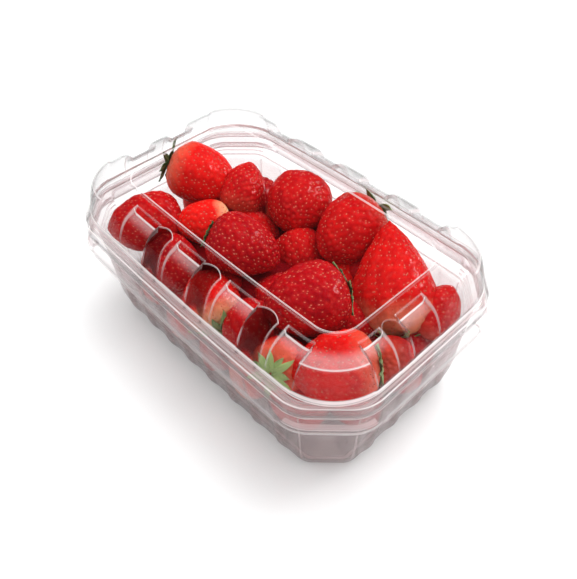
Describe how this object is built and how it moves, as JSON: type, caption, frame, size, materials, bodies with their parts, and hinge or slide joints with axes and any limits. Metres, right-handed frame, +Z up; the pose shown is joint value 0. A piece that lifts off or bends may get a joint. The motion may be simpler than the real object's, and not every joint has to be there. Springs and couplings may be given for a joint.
{
  "type": "punnet of strawberries",
  "caption": "Oblong clear plastic punnet of fresh strawberries: ribbed tray with chamfered corners, press-on domed lid with pressed windows round its wall, and the heap of berries inside.",
  "frame": {"origin": "centre of the tray's underside, on the plane the punnet rests on", "axes": "+X along the length, +Y across the width, +Z up through the lid"},
  "size_m": [0.19, 0.1234, 0.0809],
  "materials": {
    "tray_plastic": "clear, glossy, faintly hazy",
    "lid_plastic": "clear, glossy",
    "berry_flesh": "ripe strawberry skin, satin"
  },
  "bodies": {
    "root": {"tray": "tray_plastic", "lid": "lid_plastic", "strawberries": "berry_flesh"}
  },
  "joints": []
}
